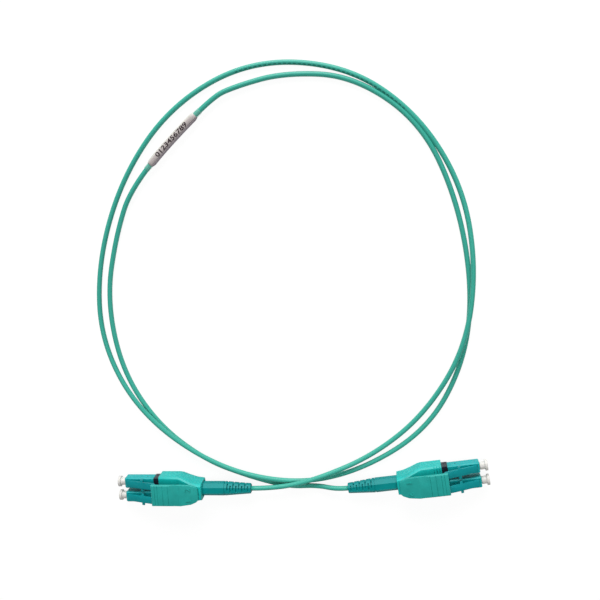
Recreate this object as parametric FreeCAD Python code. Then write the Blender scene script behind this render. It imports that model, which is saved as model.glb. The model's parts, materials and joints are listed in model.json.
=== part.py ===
import FreeCAD, Part
import math
import os

# Fiber optic patch cord: a duplex connector at each end of one round cable, with both fibres in the
# same jacket. Each connector has two square plugs with dust caps, a clamshell frame behind them, a
# sliding outer shell, a press trigger over two latches, and a ribbed bend boot.
# Millimetres. The table is z = 0. In a connector's own frame x points out of the plugs, x = 0 is
# the plugs' front face, y runs across the pair and z = 0 is the height of the ferrules' axes.

# Where the connectors lie on the table
axis_height = 4.2
left_place = (-74.265, -7.4, 182.85)
right_place = (73.644, 7.004, 10.05)

# Cable and fibres
cable_diameter = 2.0
buffer_diameter = 0.9
buffer_bore_gap = 0.05
buffer_end_gap = 0.2
leg_front_run = 2.2
leg_rear_run = 3.4
cable_sides = 8
buffer_sides = 6

# Plug housings
plug_pitch = 6.25
plug_size = 4.5
plug_length = 12.65
plug_edge = 0.35
nose_bore = 3.0
nose_depth = 4.0
bulkhead_thickness = 0.9
bulkhead_hole = 1.7
rear_bore = 3.1
spigot_size = 3.9
spigot_length = 2.0
side_hole = 0.6
side_hole_depth = 0.5
side_hole_x = -9.45

# Ferrules and what they slide in
ferrule_diameter = 1.25
ferrule_reach = 1.6
ferrule_seated = 0.6
ferrule_travel = 1.0
stop_gap = 0.05
flange_diameter = 2.9
flange_length = 2.0
flange_tail_diameter = 1.8
flange_tail_length = 2.6
spring_outer = 2.8
spring_wire = 0.35
spring_slack = 0.02
seat_nose_length = 1.43
seat_collar = 4.0
seat_collar_length = 1.1
seat_tail = 2.4
seat_tail_length = 3.4
seat_bore_gap = 0.1

# Dust caps
cap_flange_diameter = 4.5
cap_flange_length = 1.1
cap_neck_diameter = 3.2
cap_neck_length = 2.05
cap_barrel_diameter = 2.4
cap_barrel_length = 3.4
cap_face_gap = 0.15
cap_bore_gap = 0.05
cap_bore_spare = 0.6

# Latches
latch_pivot_x = -1.2
latch_pivot_rise = 0.05
latch_knuckle = 0.45
latch_knuckle_gap = 0.1
latch_width = 2.9
latch_side_gap = 0.1
latch_thickness = 0.85
latch_knee_x = -8.7
latch_knee_z = 4.9
latch_tail_x = -14.15
latch_tail_z = 6.3
latch_relief_depth = 0.55
latch_relief_length = 3.1
lug_width = 5.0
lug_length = 1.1
lug_thickness = 0.8

# Clamshell frame that holds the two plugs
frame_half_width = 5.4
frame_bottom = -2.5
frame_top = 2.45
frame_wall = 0.6
frame_straight = 9.0
frame_taper = 6.0
frame_rear_half_width = 2.9
frame_rear_top = 2.3
frame_rear_wall = 1.2
frame_web = 1.0
rail_width = 0.9
rail_offset = 3.4
rail_floor_gap = 0.15
peg_size = 0.7
peg_length = 1.1
peg_share = 0.62
peg_inset = 0.1
post_diameter = 3.2
post_length = 5.0
crimp_size = 4.2
crimp_front_gap = 1.0

# Bend boot
boot_size = 5.4
boot_corner = 1.42
boot_front_gap = 3.2
boot_smooth = 12.1
boot_line_width = 0.22
boot_line_depth = 0.3
boot_gaps = 8
gap_pitch = 1.23
gap_width = 0.46
open_gap_reach = 0.0
closed_gap_from = -1.25
closed_gap_to = 1.75
boot_end_size = 3.8
boot_core = 3.2
boot_end_core = 2.8
left_boot_turn = 180
right_boot_turn = 0

# Outer shell: its sections from front to rear, each with its place along the connector, half width,
# underside, top of the side wall, half width at the shoulder's top and height of that top
shell_front = -15.05
shell_sections = [
    (0.0, 6.2, -4.2, 2.6, 5.5, 3.2),
    (8.2, 6.2, -4.2, 2.7, 5.5, 3.4),
    (9.6, 5.9, -4.2, 2.9, 5.2, 3.7),
    (12.4, 4.85, -4.1, 3.6, 4.2, 4.5),
    (14.4, 4.2, -4.0, 4.1, 3.5, 5.2),
    (16.0, 3.8, -3.9, 4.2, 3.1, 5.4),
    (18.5, 3.6, -3.65, 3.9, 2.9, 5.4),
]
shell_corner = 0.8
shell_wall = 0.7
shell_ceiling = 2.6
shell_room_corner = 0.2
shell_boot_gap = 0.15
shell_travel = 7.5

# Press trigger
trigger_front = -12.85
trigger_rear = -32.55
trigger_half_width = 4.6
trigger_full_to = -24.9
trigger_mid = -29.45
trigger_mid_half_width = 4.15
trigger_rear_half_width = 3.0
trigger_top = 7.9
trigger_flat_to = -23.65
trigger_rear_top = 6.75
trigger_thickness = 1.2
trigger_edge = 0.25
trigger_grooves = [-14.45, -15.65, -17.85, -20.15]
groove_width = 0.35
groove_depth = 0.25
dish_front = -20.55
dish_rear = -25.45
dish_depth = 0.35
pad_width = 3.0
pad_length = 1.6
pad_gap = 0.15
hinge_x = -31.85
hinge_z = 5.0
hinge_barrel = 1.2
hinge_gap = 0.1
hinge_length = 4.0
hinge_neck = 0.8

# Sleeve and label on the cable
sleeve_diameter = 2.5
sleeve_length = 32.0
label_diameter = 3.3
label_length = 26.5
label_taper = 0.5
label_offset = -2.6
sleeve_offset = -3.1

# Route of the cable's axis from boot to boot, between the first and last points, which lie on the
# axes of the two boots. It goes twice round, over itself at three crossings.
lead_run = 11.0
tail_run = 4.6
route_middle = [
    (7.3, 0.9, 4.6),
    (30.6, 11.2, 1.0),
    (50.9, 30.0, 1.0),
    (65.6, 58.4, 3.7),
    (68.4, 90.4, 3.7),
    (62.2, 122.1, 1.0),
    (43.9, 149.9, 1.0),
    (16.6, 166.7, 1.0),
    (-19.5, 168.4, 1.0),
    (-50.4, 152.0, 1.0),
    (-71.4, 124.3, 1.0),
    (-83.3, 89.6, 1.0),
    (-83.8, 56.0, 1.0),
    (-67.3, 26.1, 3.8),
    (-36.5, 4.4, 4.0),
    (-3.8, -2.9, 2.0),
    (24.3, 3.3, 1.0),
    (52.1, 23.1, 1.0),
    (65.6, 51.8, 1.0),
    (67.6, 82.4, 1.0),
    (60.3, 117.1, 1.0),
    (45.2, 145.2, 1.0),
    (19.7, 162.5, 1.0),
    (-6.3, 163.7, 1.0),
    (-24.5, 159.0, 1.3),
    (-35.0, 154.5, 1.8),
    (-66.9, 122.2, 1.8),
    (-74.8, 100.8, 1.0),
    (-80.2, 74.4, 1.0),
    (-75.4, 44.6, 1.0),
    (-61.3, 21.4, 1.0),
    (-41.2, 5.9, 1.0),
    (-21.4, -0.9, 1.0),
    (-4.6, -4.6, 1.0),
    (7.0, -3.4, 1.9),
]
gap_apart = 30
cord_names = ["cord_first_half_turn", "cord_second_half_turn", "cord_third_half_turn", "cord_last_half_turn"]

# Values that follow from those above
plug_half = plug_size / 2
bulkhead_back = -nose_depth - bulkhead_thickness
flange_front = bulkhead_back - stop_gap
flange_back = flange_front - flange_length
spigot_back = -plug_length - spigot_length
seat_front = spigot_back + seat_nose_length
collar_back = spigot_back - seat_collar_length
seat_back = collar_back - seat_tail_length
buffer_bore = buffer_diameter + 2 * buffer_bore_gap
ferrule_back = flange_front - ferrule_seated
buffer_front = ferrule_back - ferrule_travel - buffer_end_gap
pivot_z = plug_half + latch_pivot_rise
web_back = collar_back - frame_web
frame_front = -plug_length
straight_back = frame_front - frame_straight
taper_back = straight_back - frame_taper
post_back = taper_back - post_length
boot_front = taper_back - boot_front_gap
ribs_front = boot_front - boot_smooth
boot_back = ribs_front - (boot_gaps + 1) * gap_pitch
shell_rear = shell_front - shell_sections[-1][0]
shell_floor = shell_sections[0][2] + shell_wall
boot_half = boot_size / 2


def vec(x, y, z):
    return FreeCAD.Vector(x, y, z)


def boxAt(x0, x1, y0, y1, z0, z1):
    return Part.makeBox(abs(x1 - x0), abs(y1 - y0), abs(z1 - z0), vec(min(x0, x1), min(y0, y1), min(z0, z1)))


def rod(diameter, x0, x1, y=0.0, z=0.0):
    return Part.makeCylinder(diameter / 2, abs(x1 - x0), vec(min(x0, x1), y, z), vec(1, 0, 0))


def bar(size, x0, x1, y=0.0, sides=4, turn=0.5):
    # A bar along x. Its size is measured across the flats for a square and across the corners otherwise
    reach = size / 2 if sides != 4 else size / 2 * math.sqrt(2)
    spots = []
    for i in range(sides):
        angle = 2 * math.pi * (i + turn) / sides
        spots.append(vec(min(x0, x1), y + reach * math.cos(angle), reach * math.sin(angle)))
    return face(spots).extrude(vec(abs(x1 - x0), 0, 0))


def crossRod(diameter, x, z, y0, y1):
    return Part.makeCylinder(diameter / 2, abs(y1 - y0), vec(x, min(y0, y1), z), vec(0, 1, 0))


def face(points):
    return Part.Face(Part.makePolygon(points + [points[0]]))


def skin(sections):
    # Closed solid through outlines of equal length, flat between them where their edges are parallel
    faces = [face(sections[0]), face(sections[-1])]
    for near, far in zip(sections, sections[1:]):
        for i in range(len(near)):
            j = (i + 1) % len(near)
            lift = (near[j] - near[i]).cross(far[j] - near[i]).dot(far[i] - near[i])
            if abs(lift) < 1e-9:
                faces.append(face([near[i], near[j], far[j], far[i]]))
            else:
                faces.append(face([near[i], near[j], far[j]]))
                faces.append(face([near[i], far[j], far[i]]))
    return Part.makeSolid(Part.makeShell(faces))


def sideProfile(points, y0, y1):
    return face([vec(x, y0, z) for x, z in points]).extrude(vec(0, y1 - y0, 0))


def planProfile(points, z0, z1):
    return face([vec(x, y, z0) for x, y in points]).extrude(vec(0, 0, z1 - z0))


def turned(points):
    # Solid turned about the x axis from a closed outline of (x, radius) points
    return face([vec(x, r, 0) for x, r in points]).revolve(vec(0, 0, 0), vec(1, 0, 0), 360)


def cutSquare(size, corner, x):
    # Outline of a square across the x axis with its corners cut off
    half = size / 2
    flat = half - corner
    spots = [(half, -flat), (half, flat), (flat, half), (-flat, half), (-half, flat), (-half, -flat), (-flat, -half),
             (flat, -half)]
    return Part.makePolygon([vec(x, y, z) for y, z in spots + spots[:1]])


def arcPath(points):
    # Straight runs joined by tangent arcs, each as large as its two runs allow
    edges = []
    radii = []
    start = points[0]
    for i in range(1, len(points) - 1):
        back = points[i - 1] - points[i]
        ahead = points[i + 1] - points[i]
        reach = 0.45 * min(back.Length, ahead.Length)
        turn = math.pi - back.getAngle(ahead)
        radius = reach / math.tan(turn / 2)
        back.normalize()
        ahead.normalize()
        first = points[i] + back * reach
        last = points[i] + ahead * reach
        middle = (back + ahead).normalize()
        centre = points[i] + middle * math.hypot(radius, reach)
        edges.append(Part.LineSegment(start, first).toShape())
        edges.append(Part.Arc(first, centre - middle * radius, last).toShape())
        radii.append(radius)
        start = last
    edges.append(Part.LineSegment(start, points[-1]).toShape())
    return Part.Wire(edges), radii


def tube(points, diameter, sides):
    # A faceted tube whose corners lie on the round cable's surface
    wire, radii = arcPath(points)
    ahead = (points[1] - points[0]).normalize()
    across = ahead.cross(vec(0, 0, 1)).normalize()
    up = across.cross(ahead)
    ring = []
    for i in range(sides):
        turn = 2 * math.pi * (i + 0.5) / sides
        ring.append(points[0] + across * (math.sin(turn) * diameter / 2) - up * (math.cos(turn) * diameter / 2))
    solid = wire.makePipeShell([Part.makePolygon(ring + ring[:1])], True, False)
    return solid, wire, radii


def onBoth(shape):
    return shape.fuse(shape.mirror(vec(0, 0, 0), vec(0, 1, 0)))


def moved(shape, y):
    return shape.translated(vec(0, y, 0))


def plugHousing(outward):
    chamfered = [
        (-plug_half + plug_edge, -plug_half), (plug_half - plug_edge, -plug_half), (plug_half, -plug_half + plug_edge),
        (plug_half, plug_half - plug_edge), (plug_half - plug_edge, plug_half), (-plug_half + plug_edge, plug_half),
        (-plug_half, plug_half - plug_edge), (-plug_half, -plug_half + plug_edge),
    ]
    body = face([vec(-plug_length, y, z) for y, z in chamfered]).extrude(vec(plug_length - plug_edge, 0, 0))
    lip = plug_edge * 0.6
    rear = Part.makePolygon([vec(-plug_edge, y, z) for y, z in chamfered + chamfered[:1]])
    small = (plug_half - lip) / plug_half
    front = Part.makePolygon([vec(0, y * small, z * small) for y, z in chamfered + chamfered[:1]])
    body = body.fuse(Part.makeLoft([rear, front], True, True))
    body = body.fuse(bar(spigot_size, spigot_back, -plug_length))
    body = body.cut(bar(nose_bore, -nose_depth, 1))
    body = body.cut(rod(bulkhead_hole, bulkhead_back, 1))
    body = body.cut(bar(rear_bore, spigot_back - 1, bulkhead_back))
    room = latch_width / 2 + latch_side_gap
    floor = pivot_z - latch_knuckle - latch_knuckle_gap
    ramp = [
        (latch_pivot_x, floor), (latch_pivot_x - latch_knuckle - latch_knuckle_gap, floor),
        (latch_pivot_x - latch_relief_length, plug_half), (latch_pivot_x - latch_relief_length, plug_half + 1),
        (latch_pivot_x, plug_half + 1),
    ]
    body = body.cut(sideProfile(ramp, -room, room))
    body = body.cut(crossRod(2 * (latch_knuckle + latch_knuckle_gap), latch_pivot_x, pivot_z, -room, room))
    hole = crossRod(side_hole, side_hole_x, 0, plug_half - side_hole_depth, plug_half + 1)
    if outward < 0:
        hole = hole.mirror(vec(0, 0, 0), vec(0, 1, 0))
    return body.cut(hole).removeSplitter()


def latch():
    # The arm rises from its root at the plug's nose, bends at the lugs and ends in the tail
    rise = latch_knee_z - pivot_z
    run = latch_pivot_x - latch_knee_x
    lean = math.atan2(rise, run) - math.asin(latch_knuckle / math.hypot(rise, run))
    root_top = (latch_pivot_x + latch_knuckle * math.sin(lean), pivot_z + latch_knuckle * math.cos(lean))
    root_low = (latch_pivot_x - latch_knuckle * math.sin(lean), pivot_z - latch_knuckle * math.cos(lean))
    outline = [
        root_top, (latch_knee_x, latch_knee_z), (latch_tail_x, latch_tail_z),
        (latch_tail_x + 0.1, latch_tail_z - latch_thickness), (latch_knee_x + 0.15, latch_knee_z - latch_thickness),
        root_low,
    ]
    half = latch_width / 2
    arm = sideProfile(outline, -half, half)
    arm = arm.fuse(crossRod(2 * latch_knuckle, latch_pivot_x, pivot_z, -half, half))
    slope = (latch_knee_z - root_top[1]) / (root_top[0] - latch_knee_x)
    front_z = latch_knee_z - slope * lug_length
    lug = [
        (latch_knee_x, latch_knee_z - 0.05), (latch_knee_x, latch_knee_z - 0.05 - lug_thickness),
        (latch_knee_x + lug_length, front_z - 0.05 - lug_thickness), (latch_knee_x + lug_length, front_z - 0.05),
    ]
    return arm.fuse(sideProfile(lug, -lug_width / 2, lug_width / 2)).removeSplitter()


def ferrule():
    r = ferrule_diameter / 2
    bevel = 0.15
    return turned([(ferrule_back, 0), (ferrule_back, r), (ferrule_reach - bevel, r), (ferrule_reach, r - bevel),
                   (ferrule_reach, 0)])


def flange():
    body = bar(flange_diameter, flange_back, flange_front, 0, 6)
    body = body.fuse(bar(flange_tail_diameter, flange_back - flange_tail_length, flange_back, 0, 6))
    return body.cut(rod(ferrule_diameter, flange_back - flange_tail_length - 1, 0))


def spring():
    front = flange_back - spring_slack
    body = bar(spring_outer, seat_front, front, 0, 8)
    return body.cut(bar(spring_outer - 2 * spring_wire, seat_front - 1, front + 1, 0, 8))


def springSeat():
    body = bar(rear_bore, spigot_back, seat_front)
    body = body.fuse(bar(seat_collar, collar_back, spigot_back))
    body = body.fuse(bar(seat_tail, seat_back, collar_back))
    return body.cut(rod(buffer_diameter + 2 * seat_bore_gap, seat_back - 1, seat_front + 1))


def dustCap():
    bore = ferrule_diameter / 2 + cap_bore_gap
    bore_end = ferrule_reach + cap_bore_spare
    neck_end = cap_face_gap + cap_neck_length
    top = neck_end + cap_flange_length
    barrel = cap_barrel_diameter / 2
    neck = cap_neck_diameter / 2
    flange_r = cap_flange_diameter / 2
    return turned([
        (-cap_barrel_length, bore), (-cap_barrel_length, barrel), (cap_face_gap, barrel), (cap_face_gap, neck),
        (neck_end, neck), (neck_end, flange_r), (top, flange_r), (top, 0), (bore_end, 0), (bore_end, bore),
    ])


def fibreLeg(side):
    near = side * buffer_diameter * 0.51
    far = side * plug_pitch / 2
    points = [vec(buffer_front, far, 0), vec(seat_back - leg_front_run, far, 0), vec(taper_back + leg_rear_run, near, 0),
              vec(post_back, near, 0)]
    return tube(points, buffer_diameter, buffer_sides)[0]


def framePlan(inset, front, rear_inset):
    half = frame_half_width - inset
    rear = frame_rear_half_width - inset
    return [(front, -half), (straight_back, -half), (taper_back + rear_inset, -rear),
            (taper_back + rear_inset, rear), (straight_back, half), (front, half)]


def frameSide(inset, front, rear_inset):
    return [(front, frame_bottom + inset), (taper_back + rear_inset, frame_bottom + inset),
            (taper_back + rear_inset, frame_rear_top - inset), (straight_back, frame_top - inset),
            (front, frame_top - inset)]


def frameSolid():
    wide = frame_half_width + 1
    body = planProfile(framePlan(0, frame_front, 0), frame_bottom, frame_top)
    body = body.common(sideProfile(frameSide(0, frame_front, 0), -wide, wide))
    room = planProfile(framePlan(frame_wall, web_back, frame_rear_wall), frame_bottom, frame_top)
    room = room.common(sideProfile(frameSide(frame_wall, web_back, frame_rear_wall), -wide, wide))
    body = body.cut(room)
    body = body.fuse(rod(post_diameter, post_back, taper_back + 0.5 * frame_rear_wall))
    body = body.cut(rod(cable_diameter, post_back - 1, taper_back + frame_rear_wall + 1))
    for y in (-plug_pitch / 2, plug_pitch / 2):
        body = body.cut(bar(spigot_size, spigot_back, frame_front + 1, y))
        body = body.cut(bar(seat_collar, collar_back, spigot_back, y))
        body = body.cut(bar(seat_tail, web_back - 1, collar_back, y))
    rails = boxAt(frame_front - 2.6, straight_back, rail_offset, rail_offset + rail_width,
                  shell_floor + rail_floor_gap, frame_bottom)
    return body.fuse(onBoth(rails))


def pegs():
    rear_x = straight_back - peg_share * frame_taper
    rear_y = frame_rear_half_width - peg_inset
    half = peg_size / 2
    spots = [(frame_front - spigot_length / 2, 0), (rear_x, rear_y), (rear_x, -rear_y)]
    return [boxAt(x - half, x + half, y - half, y + half, 0, peg_length) for x, y in spots]


def frameHalves():
    whole = frameSolid()
    box = whole.BoundBox
    base = whole.common(boxAt(box.XMin - 1, box.XMax + 1, box.YMin - 1, box.YMax + 1, box.ZMin - 1, 0))
    cover = whole.common(boxAt(box.XMin - 1, box.XMax + 1, box.YMin - 1, box.YMax + 1, 0, box.ZMax + 1))
    for peg in pegs():
        base = base.fuse(peg)
        cover = cover.cut(peg)
    return base.removeSplitter(), cover.removeSplitter()


def crimpOutside(front):
    # Pressed into a hexagon over the post
    return bar(crimp_size, post_back, front, 0, 6)


def crimpRing():
    front = taper_back - crimp_front_gap
    return crimpOutside(front).cut(rod(post_diameter, post_back - 1, front + 1))


def boot():
    # The gaps between the ribs open by turns at one side and near the other, all round a core
    ribs = [cutSquare(boot_end_size, boot_corner * boot_end_size / boot_size, boot_back),
            cutSquare(boot_size, boot_corner, ribs_front)]
    ribs = Part.makeLoft(ribs, True, True)
    taper = (1 - boot_end_size / boot_size) / (ribs_front - boot_back)
    wide = boot_size
    for i in range(boot_gaps):
        x = ribs_front - (i + 1) * gap_pitch
        share = 1 - taper * (ribs_front - x)
        low, high = (open_gap_reach, wide) if i % 2 == 0 else (closed_gap_from * share, closed_gap_to * share)
        ribs = ribs.cut(boxAt(x - gap_width / 2, x + gap_width / 2, low, high, -wide, wide))
    core = [cutSquare(boot_end_core, boot_end_core * 0.29, boot_back), cutSquare(boot_core, boot_core * 0.29, ribs_front)]
    body = Part.Face(cutSquare(boot_size, boot_corner, ribs_front)).extrude(vec(boot_smooth, 0, 0))
    line = Part.Face(cutSquare(boot_size + 1, boot_corner, ribs_front)).extrude(vec(boot_line_width, 0, 0))
    inner = boot_size - 2 * boot_line_depth
    line = line.cut(Part.Face(cutSquare(inner, boot_corner * inner / boot_size, ribs_front - 1)).extrude(vec(3, 0, 0)))
    body = body.cut(line).fuse(ribs).fuse(Part.makeLoft(core, True, True))
    body = body.cut(rod(cable_diameter, boot_back - 1, boot_front + 1))
    body = body.cut(crimpOutside(boot_front + 1))
    return body.removeSplitter()


def shellSection(place):
    back, half, bottom, side_top, shoulder, top = place
    c = shell_corner
    x = shell_front - back
    spots = [(half - c, bottom), (half, bottom + c), (half, side_top), (shoulder, top)]
    ring = spots + [(-y, z) for y, z in reversed(spots)]
    return [vec(x, y, z) for y, z in ring]


def shellRoom(place):
    back, half, bottom = place[:3]
    least = boot_half + shell_boot_gap
    wide = max(least, half - shell_wall)
    low = min(-least, bottom + shell_wall)
    c = shell_corner * 0.6
    x = shell_front - back
    spots = [(wide - c, low), (wide, low + c), (wide, shell_ceiling - shell_room_corner),
             (wide - shell_room_corner, shell_ceiling)]
    ring = spots + [(-y, z) for y, z in reversed(spots)]
    return [vec(x, y, z) for y, z in ring]


def triggerPlan():
    half = [(trigger_front, trigger_half_width), (trigger_full_to, trigger_half_width),
            (trigger_mid, trigger_mid_half_width), (trigger_rear + 0.9, trigger_rear_half_width + 0.25),
            (trigger_rear + 0.25, trigger_rear_half_width - 0.35), (trigger_rear, trigger_rear_half_width - 1.1)]
    return half + [(x, -y) for x, y in reversed(half)]


def shell():
    # The room holds the frame, and a passage through to the rear holds the boot as the shell slides over it
    solid = skin([shellSection(s) for s in shell_sections])
    solid = solid.cut(skin([shellRoom(s) for s in shell_sections[:-1]]))
    passage = cutSquare(boot_size + 2 * shell_boot_gap, boot_corner, shell_rear - 1)
    passage_front = boot_front + shell_travel + shell_boot_gap
    solid = solid.cut(Part.Face(passage).extrude(vec(passage_front - shell_rear + 1, 0, 0)))
    half = hinge_length / 2 + hinge_gap
    solid = solid.cut(crossRod(hinge_barrel + 2 * hinge_gap, hinge_x, hinge_z, -half, half))
    return solid.removeSplitter()


def trigger():
    rear_low = trigger_rear_top - trigger_thickness
    low = trigger_top - trigger_thickness
    outline = [
        (trigger_front, trigger_top - 0.4), (trigger_front - 0.35, trigger_top), (trigger_flat_to, trigger_top),
        (trigger_rear, trigger_rear_top), (trigger_rear, rear_low), (trigger_flat_to, low), (trigger_front, low),
    ]
    wide = trigger_half_width + 1
    body = planProfile(triggerPlan(), rear_low - 1, trigger_top + 1)
    body = body.common(sideProfile(outline, -wide, wide))
    for x in trigger_grooves:
        groove = [(x - groove_width / 2, trigger_top + 0.2), (x, trigger_top - groove_depth),
                  (x + groove_width / 2, trigger_top + 0.2)]
        body = body.cut(sideProfile(groove, -wide, wide))
    chord = (dish_front - dish_rear) / 2
    dish = (chord * chord + dish_depth * dish_depth) / (2 * dish_depth)
    middle = (dish_front + dish_rear) / 2
    body = body.cut(crossRod(2 * dish, middle, trigger_top + dish - dish_depth, -wide, wide))
    for side in (-1, 1):
        edge = [vec(trigger_front + 1, side * wide, trigger_top + 1),
                vec(trigger_front + 1, side * (trigger_half_width - trigger_edge), trigger_top + 1),
                vec(trigger_front + 1, side * (trigger_half_width - trigger_edge), trigger_top),
                vec(trigger_front + 1, side * trigger_half_width, trigger_top - trigger_edge),
                vec(trigger_front + 1, side * wide, trigger_top - trigger_edge)]
        body = body.cut(face(edge).extrude(vec(trigger_full_to - trigger_front - 1, 0, 0)))
    pad_low = latch_tail_z + pad_gap
    for y in (-plug_pitch / 2, plug_pitch / 2):
        body = body.fuse(boxAt(trigger_front - 0.1, trigger_front - 0.1 - pad_length, y - pad_width / 2,
                               y + pad_width / 2, pad_low, low + 0.2))
    half = hinge_length / 2
    body = body.fuse(crossRod(hinge_barrel, hinge_x, hinge_z, -half, half))
    neck_top = trigger_rear_top - 0.5 * trigger_thickness
    body = body.fuse(boxAt(hinge_x - hinge_neck / 2, hinge_x + hinge_neck / 2, -half, half, hinge_z, neck_top))
    return body.removeSplitter()


def cableStub():
    return rod(cable_diameter, boot_back, post_back)


def connector():
    pieces = {}
    for name, side in (("a", 1), ("b", -1)):
        y = side * plug_pitch / 2
        pieces["plug_housing_" + name] = moved(plugHousing(side), y)
        pieces["latch_" + name] = moved(latch(), y)
        pieces["dust_cap_" + name] = moved(dustCap(), y)
        pieces["ferrule_" + name] = moved(ferrule(), y)
        pieces["ferrule_flange_" + name] = moved(flange(), y)
        pieces["ferrule_spring_" + name] = moved(spring(), y)
        pieces["spring_seat_" + name] = moved(springSeat(), y)
        pieces["fibre_leg_" + name] = fibreLeg(side)
    base, cover = frameHalves()
    pieces["frame_base"] = base
    pieces["frame_cover"] = cover
    pieces["crimp_ring"] = crimpRing()
    pieces["bend_boot"] = boot()
    pieces["outer_shell"] = shell()
    pieces["press_trigger"] = trigger()
    pieces["cable_end"] = cableStub()
    return pieces


def placed(shape, place):
    result = shape.copy()
    result.rotate(vec(0, 0, 0), vec(0, 0, 1), place[2])
    result.translate(vec(place[0], place[1], axis_height))
    return result


def alongAxis(place, distance):
    turn = math.radians(place[2])
    return vec(place[0] + distance * math.cos(turn), place[1] + distance * math.sin(turn), axis_height)


def cordPoints():
    points = [alongAxis(left_place, boot_back), alongAxis(left_place, boot_back - lead_run)]
    points += [vec(*p) for p in route_middle]
    points += [alongAxis(right_place, boot_back - tail_run), alongAxis(right_place, boot_back)]
    return points


def longestRun(points):
    runs = [(ahead - near).Length for near, ahead in zip(points, points[1:])]
    return runs.index(max(runs))


def cordPieces(points):
    # The route is cut across at the middle of a straight run, so the pieces meet face to face
    pieces = []
    count = len(cord_names)
    cuts = [round(i * (len(points) - 1) / count) for i in range(count + 1)]
    label_run = longestRun(points)
    cuts = [cut + 1 if cut == label_run else cut for cut in cuts]
    for i, name in enumerate(cord_names):
        first, last = cuts[i], cuts[i + 1]
        part = points[first + 1:last + 1] if i else points[:last + 1]
        if i:
            part = [(points[first] + points[first + 1]) * 0.5] + part
        if i < count - 1:
            part = part + [(points[last] + points[last + 1]) * 0.5]
        pieces.append((name, part))
    return pieces


def leastGap(wire, step, apart):
    spots = wire.discretize(Distance=step)
    skip = int(apart / step)
    least = 1e9
    for i in range(0, len(spots)):
        a = spots[i]
        for j in range(i + skip, len(spots)):
            b = spots[j]
            if abs(a.x - b.x) < 4 and abs(a.y - b.y) < 4:
                least = min(least, a.distanceToPoint(b))
    return least - cable_diameter


def collarOnRun(points, outer, inner, length, offset, taper):
    # A sleeve on the longest run of the cable, its middle moved along the run by the offset
    label_run = longestRun(points)
    run = points[label_run + 1] - points[label_run]
    middle = (points[label_run + 1] + points[label_run]) * 0.5
    half = length / 2
    outline = [(-half, inner / 2), (-half, outer / 2 - taper), (half, outer / 2 - taper), (half, inner / 2)]
    if taper:
        outline[2:2] = [(-half + 2 * taper, outer / 2), (half - 2 * taper, outer / 2)]
    shape = turned(outline)
    turn = FreeCAD.Rotation(vec(1, 0, 0), run)
    run.normalize()
    shape.Placement = FreeCAD.Placement(middle + run * offset, turn)
    return shape


def main():
    pieces = {}
    one = connector()
    for side, place, boot_turn in (("left_", left_place, left_boot_turn), ("right_", right_place, right_boot_turn)):
        for name, shape in one.items():
            if name == "bend_boot":
                shape = shape.rotated(vec(0, 0, 0), vec(1, 0, 0), boot_turn)
            pieces[side + name] = placed(shape, place)
    points = cordPoints()
    whole, wire, radii = tube(points, cable_diameter, cable_sides)
    section = cable_sides / 2 * math.sin(2 * math.pi / cable_sides) * cable_diameter ** 2 / 4
    print("cord turns radii", [round(r) for r in radii])
    print("cord length", round(wire.Length, 1))
    print("cord volume / section x length", round(whole.Volume / (section * wire.Length), 4))
    print("cord least gap to itself", round(leastGap(wire, 0.8, gap_apart), 2))
    for name, part in cordPieces(points):
        pieces[name] = tube(part, cable_diameter, cable_sides)[0]
    pieces["label_sleeve"] = collarOnRun(points, sleeve_diameter, cable_diameter, sleeve_length, sleeve_offset, 0)
    pieces["label"] = collarOnRun(points, label_diameter, sleeve_diameter, label_length, label_offset, label_taper * 0.5)
    box = FreeCAD.BoundBox()
    for name, shape in pieces.items():
        solids = shape.Solids
        if len(solids) != 1 or not shape.isValid():
            print("check", name, len(solids), shape.isValid())
        if name.startswith(("left_", "right_")):
            box.add(shape.BoundBox)
        (solids[0] if len(solids) == 1 else shape).exportStep("parts/" + name + ".step")
    print("connectors", [round(v, 3) for v in (box.XMin, box.XMax, box.YMin, box.YMax, box.ZMin, box.ZMax)])
    print("pieces", len(pieces))


main()
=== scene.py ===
import json
import math

import bmesh
import bpy
import numpy as np
from mathutils import Matrix, Vector

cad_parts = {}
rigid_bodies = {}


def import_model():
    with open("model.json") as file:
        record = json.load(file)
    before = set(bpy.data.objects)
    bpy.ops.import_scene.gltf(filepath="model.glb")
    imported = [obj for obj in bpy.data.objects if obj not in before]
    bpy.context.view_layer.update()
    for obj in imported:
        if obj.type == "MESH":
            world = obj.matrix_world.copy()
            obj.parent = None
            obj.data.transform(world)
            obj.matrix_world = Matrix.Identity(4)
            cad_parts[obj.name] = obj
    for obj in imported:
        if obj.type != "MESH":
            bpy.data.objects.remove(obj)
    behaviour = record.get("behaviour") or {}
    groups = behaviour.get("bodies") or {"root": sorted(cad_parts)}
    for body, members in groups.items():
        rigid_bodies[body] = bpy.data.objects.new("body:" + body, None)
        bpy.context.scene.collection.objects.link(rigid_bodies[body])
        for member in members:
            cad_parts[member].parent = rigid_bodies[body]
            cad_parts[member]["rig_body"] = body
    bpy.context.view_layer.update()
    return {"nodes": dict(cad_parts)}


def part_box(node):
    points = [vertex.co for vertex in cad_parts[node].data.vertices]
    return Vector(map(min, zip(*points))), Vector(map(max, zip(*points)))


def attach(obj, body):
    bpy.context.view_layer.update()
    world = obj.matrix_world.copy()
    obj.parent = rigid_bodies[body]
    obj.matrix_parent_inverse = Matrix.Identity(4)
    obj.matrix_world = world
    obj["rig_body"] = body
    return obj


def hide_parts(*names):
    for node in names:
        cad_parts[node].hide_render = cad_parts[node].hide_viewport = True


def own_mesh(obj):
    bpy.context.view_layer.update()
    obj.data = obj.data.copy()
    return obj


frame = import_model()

print("frame loaded")


# How the connectors lie: the middle of the plugs' front face in millimetres, and the turn in degrees

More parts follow.
